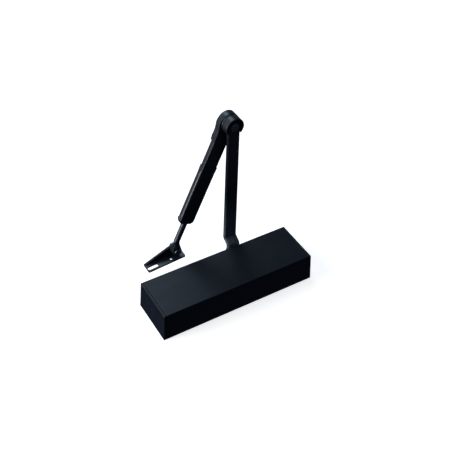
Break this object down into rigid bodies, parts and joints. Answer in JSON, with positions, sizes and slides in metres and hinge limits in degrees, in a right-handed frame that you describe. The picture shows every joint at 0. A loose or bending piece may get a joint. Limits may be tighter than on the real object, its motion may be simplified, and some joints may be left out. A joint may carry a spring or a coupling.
{
  "type": "door closer",
  "caption": "Surface hydraulic door closer: boxed cover over a rack and pinion body, cranked main arm, friction elbow, adjustable forearm and slotted frame shoe.",
  "frame": {"origin": "centre of the body's fixing hole pattern, on the mounting face that lies against the door leaf", "axes": "+X along the body towards its closing (valve) end, +Y along the spindle towards the arm, +Z away from the door leaf"},
  "size_m": [0.305, 0.1624, 0.3179],
  "materials": {
    "cover_paint": "black powder coat, satin, fine texture",
    "arm_paint": "black powder coat, satin",
    "joint_metal": "blackened steel, rubbed",
    "fastener_black": "black oxide",
    "casting_paint": "painted casting, slightly rough",
    "machined_steel": "turned and ground",
    "spring_steel": "oiled spring steel",
    "zinc_plate": "zinc plated",
    "valve_brass": "machined",
    "bush_bronze": "sintered bronze",
    "seal_rubber": "matt"
  },
  "bodies": {
    "closer_body": {"body_casting": "casting_paint", "cover_channel": "cover_paint", "cover_end_cap_spring_side": "cover_paint", "cover_end_cap_closing_side": "cover_paint", "closing_end_plug": "machined_steel", "spring_end_plug": "machined_steel", "end_plug_seals": "seal_rubber", "upper_bearing": "machined_steel", "lower_bearing": "machined_steel", "spindle_retaining_cap": "machined_steel", "spindle_lip_seal": "seal_rubber", "lower_bearing_cap": "machined_steel", "lower_cap_seal": "seal_rubber", "outer_spring": "spring_steel", "inner_spring": "spring_steel", "cover_clips": "zinc_plate", "cover_clip_screws": "zinc_plate"},
    "piston": {"rack_piston": "machined_steel", "piston_ring": "machined_steel", "check_valve_ball": "machined_steel", "check_valve_seat": "machined_steel"},
    "spindle_arm": {"pinion_shaft": "machined_steel", "main_arm": "arm_paint", "arm_washer": "fastener_black", "arm_screw": "fastener_black", "elbow_cup": "arm_paint", "friction_disc_front": "joint_metal", "friction_disc_rear": "joint_metal", "elbow_pin": "fastener_black", "elbow_nut": "fastener_black", "elbow_spring_washer": "machined_steel"},
    "forearm": {"elbow_knuckle": "arm_paint", "friction_ring_middle": "joint_metal", "forearm_tube": "arm_paint", "forearm_collar": "arm_paint", "adjusting_sleeve": "arm_paint", "sleeve_clamp_screw": "fastener_black"},
    "rod": {"adjusting_rod": "arm_paint", "rod_eye_bush": "bush_bronze"},
    "shoe": {"shoe": "arm_paint", "shoe_pivot_pin": "fastener_black", "shoe_washer": "fastener_black", "shoe_nut": "fastener_black"},
    "latching_valve": {"latching_valve": "valve_brass", "latching_valve_seal": "seal_rubber"},
    "closing_valve": {"closing_valve": "valve_brass", "closing_valve_seal": "seal_rubber"},
    "backcheck_valve": {"backcheck_valve": "valve_brass", "backcheck_valve_seal": "seal_rubber"},
    "power_screw": {"power_adjusting_screw": "machined_steel"},
    "spring_seat": {"spring_seat": "machined_steel"}
  },
  "joints": [
    {"name": "spindle_turn", "type": "hinge", "parent": "closer_body", "child": "spindle_arm", "pos_m": [0.051, 0, 0.028], "axis": [0, -1, 0], "range_deg": [0, 170], "stiffness_Nm_per_rad": 8, "springref_deg": -57.3},
    {"name": "piston_slide", "type": "slide", "parent": "closer_body", "child": "piston", "axis": [-1, 0, 0], "range_m": [0, 0.0253], "deforming": ["outer_spring", "inner_spring"]},
    {"name": "elbow_turn", "type": "hinge", "parent": "spindle_arm", "child": "forearm", "pos_m": [0.051, 0.096, 0.3005], "axis": [0, 1, 0], "range_deg": [-20, 150]},
    {"name": "rod_slide", "type": "slide", "parent": "forearm", "child": "rod", "axis": [-0.4027, 0, -0.9153], "range_m": [-0.033, 0.04]},
    {"name": "shoe_turn", "type": "hinge", "parent": "rod", "child": "shoe", "pos_m": [-0.0511, 0.1, 0.044], "axis": [0, 1, 0], "range_deg": [-70, 75]},
    {"name": "latching_valve_turn", "type": "hinge", "parent": "closer_body", "child": "latching_valve", "pos_m": [0.098, 0.023, 0.045], "axis": [0, 0, 1], "range_deg": [-360, 360]},
    {"name": "closing_valve_turn", "type": "hinge", "parent": "closer_body", "child": "closing_valve", "pos_m": [0.082, 0.023, 0.045], "axis": [0, 0, 1], "range_deg": [-360, 360]},
    {"name": "backcheck_valve_turn", "type": "hinge", "parent": "closer_body", "child": "backcheck_valve", "pos_m": [0.002, 0.023, 0.045], "axis": [0, 0, 1], "range_deg": [-360, 360]},
    {"name": "power_screw_turn", "type": "hinge", "parent": "closer_body", "child": "power_screw", "pos_m": [-0.11, 0, 0.028], "axis": [1, 0, 0], "range_deg": [0, 3602]},
    {"name": "spring_seat_slide", "type": "slide", "parent": "closer_body", "child": "spring_seat", "axis": [1, 0, 0], "range_m": [0, 0.015], "deforming": ["outer_spring", "inner_spring"]}
  ],
  "couplings": [
    {"joint": "piston_slide", "follows": "spindle_turn", "m_per_rad": 0.0085},
    {"joint": "power_screw_turn", "follows": "spring_seat_slide", "rad_per_m": 4188.8}
  ]
}
